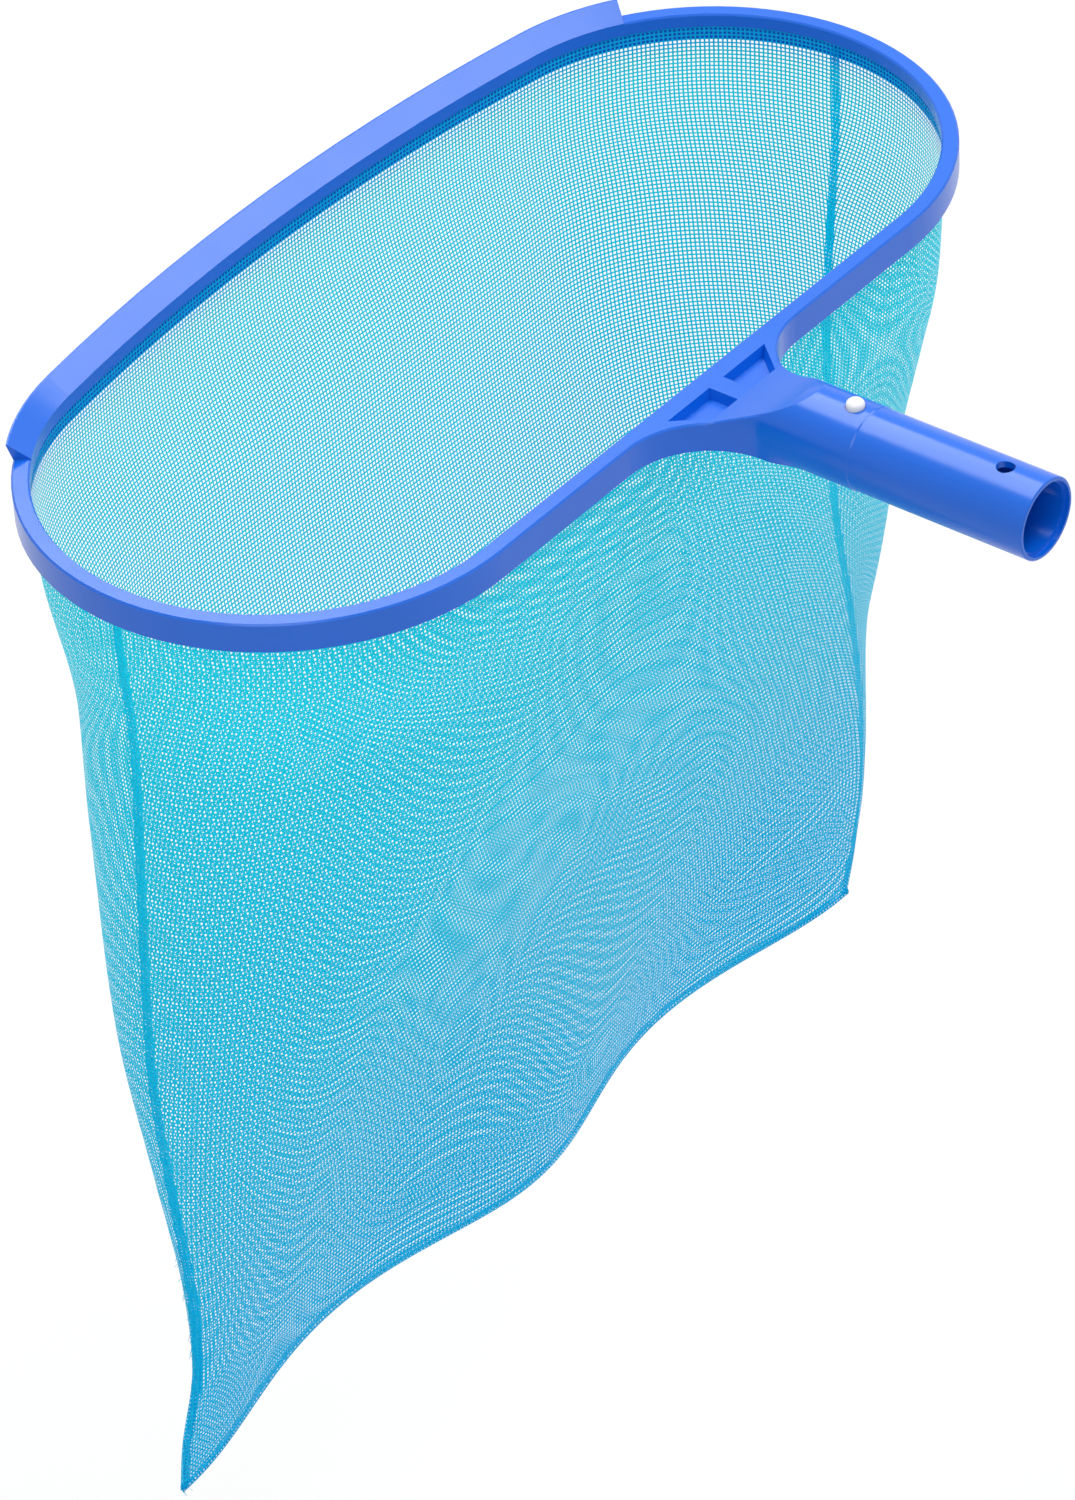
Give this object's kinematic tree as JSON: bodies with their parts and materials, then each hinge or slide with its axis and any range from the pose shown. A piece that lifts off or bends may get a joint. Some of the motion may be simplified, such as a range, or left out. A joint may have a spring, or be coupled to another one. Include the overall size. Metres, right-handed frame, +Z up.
{
  "type": "leaf skimmer net",
  "caption": "Hand skimmer for a pool: moulded oval rim with a scoop lip, deep fine-mesh bag, and a barrel handle with snap buttons that a telescopic pole slides over",
  "frame": {"origin": "on the barrel handle's axis, at its open mouth, where the pole slides on", "axes": "+Y from the mouth along the handle to the rim; +X along the rim; +Z up, square to the rim's plane, with the bag hanging toward -Z"},
  "size_m": [0.4148, 0.3187, 0.4067],
  "materials": {
    "frame_plastic": "glossy blue injection-moulded plastic",
    "hoop_plastic": "satin blue plastic hoop",
    "cord": "braided polyester cord",
    "net": "fine square-woven light blue polyester mesh",
    "seam": "folded and stitched mesh",
    "spring_steel": "stainless spring strip",
    "button_plastic": "white nylon"
  },
  "bodies": {
    "skimmer": {"frame": "frame_plastic", "net_retainer": "hoop_plastic", "hem_cord": "cord", "net_front_panel": "net", "net_back_panel": "net", "left_side_seam": "seam", "right_side_seam": "seam", "bottom_seam": "seam", "clip_upper_bend": "spring_steel", "clip_lower_bend": "spring_steel"},
    "upper_clip": {"clip_upper_leg": "spring_steel", "upper_button": "button_plastic"},
    "lower_clip": {"clip_lower_leg": "spring_steel", "lower_button": "button_plastic"}
  },
  "joints": [
    {"name": "upper_button_press", "type": "slide", "parent": "skimmer", "child": "upper_clip", "axis": [0, 0, -1], "range_m": [0, 0.0032], "stiffness_N_per_m": 1500, "springref_m": -0.001, "deforming": ["clip_upper_bend"]},
    {"name": "lower_button_press", "type": "slide", "parent": "skimmer", "child": "lower_clip", "axis": [0, 0, 1], "range_m": [0, 0.0032], "stiffness_N_per_m": 1500, "springref_m": -0.001, "deforming": ["clip_lower_bend"]}
  ]
}
